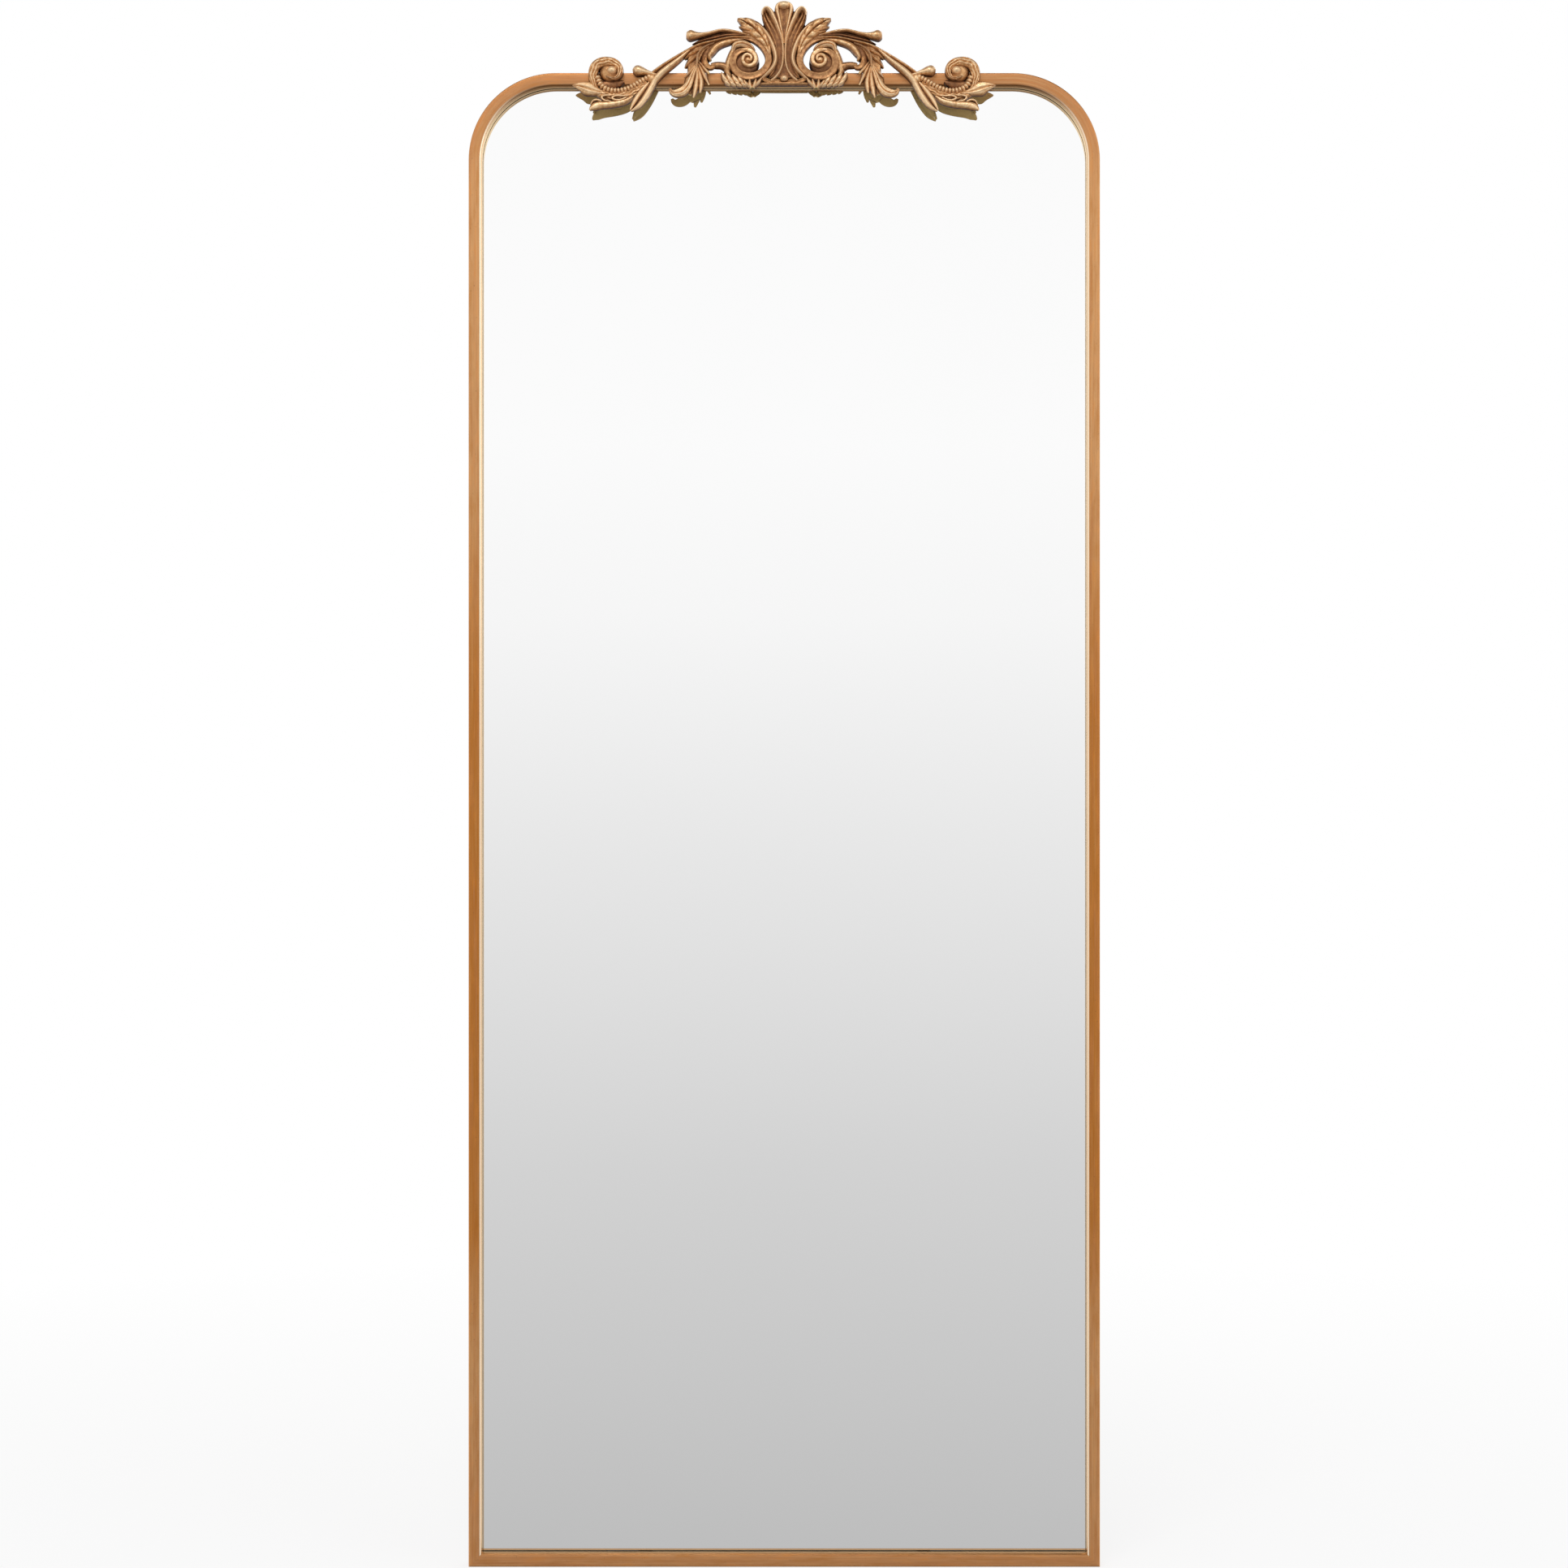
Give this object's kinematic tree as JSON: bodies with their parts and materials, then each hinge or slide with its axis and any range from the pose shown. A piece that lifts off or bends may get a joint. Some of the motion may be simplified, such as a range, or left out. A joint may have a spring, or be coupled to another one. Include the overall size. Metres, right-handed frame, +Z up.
{
  "type": "full-length mirror",
  "caption": "Tall wall or leaning mirror: silvered pane set back in a slim brass tube frame with round upper corners and a cast acanthus crest; ring hangers fold on the back.",
  "frame": {"origin": "centre of the bottom rail's underside, half-way through the depth of the frame tube", "axes": "+X to the viewer's right, +Y from the glass side towards the wall, +Z up; the mirror faces -Y"},
  "size_m": [0.778, 0.055, 1.9285],
  "materials": {
    "antique_brass_tube": "brushed, aged",
    "antique_brass_cast": "cast, with dark patina in the hollows",
    "silvered_glass": "polished",
    "fibre_board": "matt",
    "foam_tape": "matt",
    "packer_plastic": "matt",
    "welded_steel": "sprayed with the frame",
    "zinc_steel": "zinc plated",
    "black_rubber": "matt"
  },
  "bodies": {
    "mirror": {"frame_hoop": "antique_brass_tube", "bottom_rail": "antique_brass_tube", "crest_casting": "antique_brass_cast", "mirror_pane": "silvered_glass", "mirror_tape": "foam_tape", "backing_board": "fibre_board", "glass_packers": "packer_plastic", "board_tabs": "welded_steel", "hanger_plates": "welded_steel", "board_screws": "zinc_steel", "crest_screws": "zinc_steel", "hanger_screws": "zinc_steel", "left_hanger_strap": "zinc_steel", "right_hanger_strap": "zinc_steel", "wall_bumpers": "black_rubber"},
    "left_ring": {"left_hanger_ring": "zinc_steel"},
    "right_ring": {"right_hanger_ring": "zinc_steel"}
  },
  "joints": [
    {"name": "left_ring_hinge", "type": "hinge", "parent": "mirror", "child": "left_ring", "pos_m": [-0.358, 0.01838, 1.511], "axis": [1, 0, 0], "range_deg": [0, 180]},
    {"name": "right_ring_hinge", "type": "hinge", "parent": "mirror", "child": "right_ring", "pos_m": [0.358, 0.01838, 1.511], "axis": [1, 0, 0], "range_deg": [0, 180]}
  ]
}
